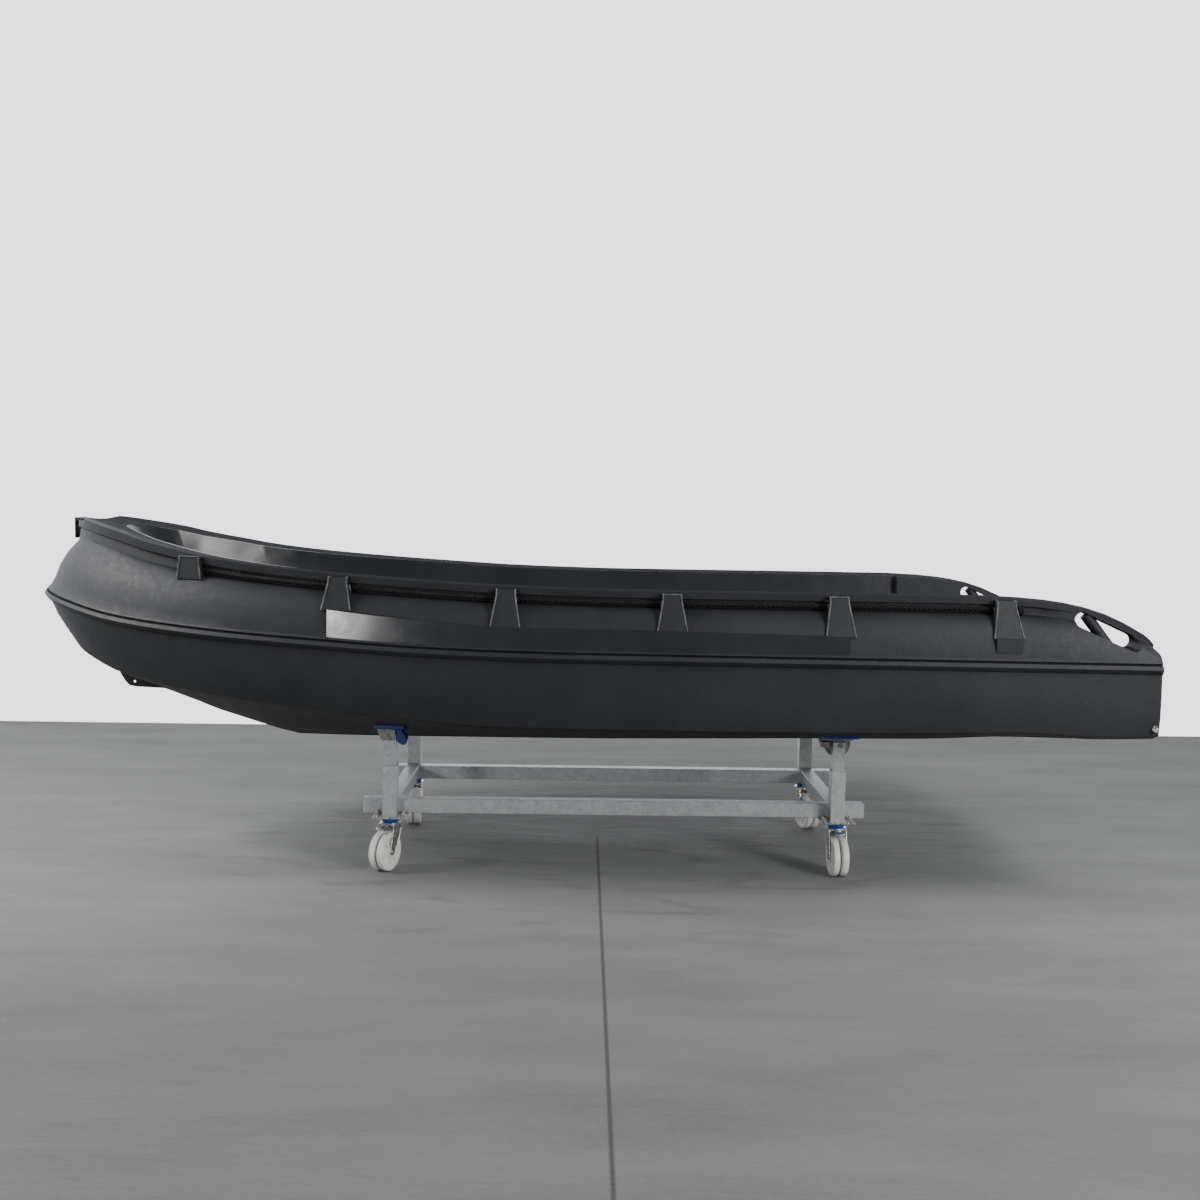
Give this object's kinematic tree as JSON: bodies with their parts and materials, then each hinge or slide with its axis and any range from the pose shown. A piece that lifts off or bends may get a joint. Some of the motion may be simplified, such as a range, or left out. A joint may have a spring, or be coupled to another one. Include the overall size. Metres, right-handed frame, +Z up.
{
  "type": "open plastic work boat on a caster trolley",
  "caption": "Open black moulded plastic work boat with tube-shaped sides and side grab lines, on a galvanised steel trolley with swivelling twin-wheel casters.",
  "frame": {"origin": "on the floor under the middle of the boat", "axes": "+X to the bow, +Y to port, +Z up"},
  "size_m": [4.544, 1.8622, 1.4361],
  "materials": {
    "hull_plastic": "moulded satin black, fine orange-peel texture",
    "plate_aluminium": "brushed",
    "rope": "black three-strand rope",
    "galvanised": "hot-dip galvanised, dull mottled grey",
    "pad_blue": "blue plastic",
    "bracket_steel": "zinc plated, dark",
    "zinc": "bright zinc plated",
    "ring_blue": "blue plastic seal ring",
    "nylon": "white nylon, slightly soiled"
  },
  "bodies": {
    "boat_and_trolley": {"hull": "hull_plastic", "bow_plate": "hull_plastic", "transom_plate": "plate_aluminium", "grab_line_port": "rope", "beam_port": "galvanised", "eye_bolt_port": "zinc", "grab_line_starboard": "rope", "beam_starboard": "galvanised", "eye_bolt_starboard": "zinc", "cross_member_fore": "galvanised", "cross_member_aft": "galvanised", "sleeve_fore_port": "galvanised", "inner_post_fore_port": "galvanised", "pad_fore_port": "pad_blue", "pad_bracket_fore_port": "bracket_steel", "caster_plate_fore_port": "zinc", "sleeve_fore_starboard": "galvanised", "inner_post_fore_starboard": "galvanised", "pad_fore_starboard": "pad_blue", "pad_bracket_fore_starboard": "bracket_steel", "caster_plate_fore_starboard": "zinc", "sleeve_aft_port": "galvanised", "inner_post_aft_port": "galvanised", "pad_aft_port": "pad_blue", "pad_bracket_aft_port": "bracket_steel", "caster_plate_aft_port": "zinc", "sleeve_aft_starboard": "galvanised", "inner_post_aft_starboard": "galvanised", "pad_aft_starboard": "pad_blue", "pad_bracket_aft_starboard": "bracket_steel", "caster_plate_aft_starboard": "zinc"},
    "caster_fore_port": {"swivel_ring_fore_port": "ring_blue", "fork_fore_port": "zinc"},
    "wheels_fore_port": {"twin_wheel_fore_port": "nylon"},
    "caster_fore_starboard": {"swivel_ring_fore_starboard": "ring_blue", "fork_fore_starboard": "zinc"},
    "wheels_fore_starboard": {"twin_wheel_fore_starboard": "nylon"},
    "caster_aft_port": {"swivel_ring_aft_port": "ring_blue", "fork_aft_port": "zinc"},
    "wheels_aft_port": {"twin_wheel_aft_port": "nylon"},
    "caster_aft_starboard": {"swivel_ring_aft_starboard": "ring_blue", "fork_aft_starboard": "zinc"},
    "wheels_aft_starboard": {"twin_wheel_aft_starboard": "nylon"}
  },
  "joints": [
    {"name": "swivel_fore_port", "type": "hinge", "parent": "boat_and_trolley", "child": "caster_fore_port", "pos_m": [0.711, 0.41, 0.19], "axis": [0, 0, 1], "continuous": true},
    {"name": "swivel_fore_starboard", "type": "hinge", "parent": "boat_and_trolley", "child": "caster_fore_starboard", "pos_m": [0.711, -0.41, 0.19], "axis": [0, 0, 1], "continuous": true},
    {"name": "swivel_aft_port", "type": "hinge", "parent": "boat_and_trolley", "child": "caster_aft_port", "pos_m": [-1.147, 0.41, 0.19], "axis": [0, 0, 1], "continuous": true},
    {"name": "swivel_aft_starboard", "type": "hinge", "parent": "boat_and_trolley", "child": "caster_aft_starboard", "pos_m": [-1.147, -0.41, 0.19], "axis": [0, 0, 1], "continuous": true},
    {"name": "roll_fore_port", "type": "hinge", "parent": "caster_fore_port", "child": "wheels_fore_port", "pos_m": [0.72741, 0.44866, 0.08], "axis": [0.9205, -0.3907, 0], "continuous": true},
    {"name": "roll_fore_starboard", "type": "hinge", "parent": "caster_fore_starboard", "child": "wheels_fore_starboard", "pos_m": [0.70807, -0.3681, 0.08], "axis": [0.9976, 0.0698, 0], "continuous": true},
    {"name": "roll_aft_port", "type": "hinge", "parent": "caster_aft_port", "child": "wheels_aft_port", "pos_m": [-1.1492, 0.45194, 0.08], "axis": [0.9986, 0.0523, 0], "continuous": true},
    {"name": "roll_aft_starboard", "type": "hinge", "parent": "caster_aft_starboard", "child": "wheels_aft_starboard", "pos_m": [-1.15928, -0.36984, 0.08], "axis": [0.9563, 0.2924, 0], "continuous": true}
  ]
}
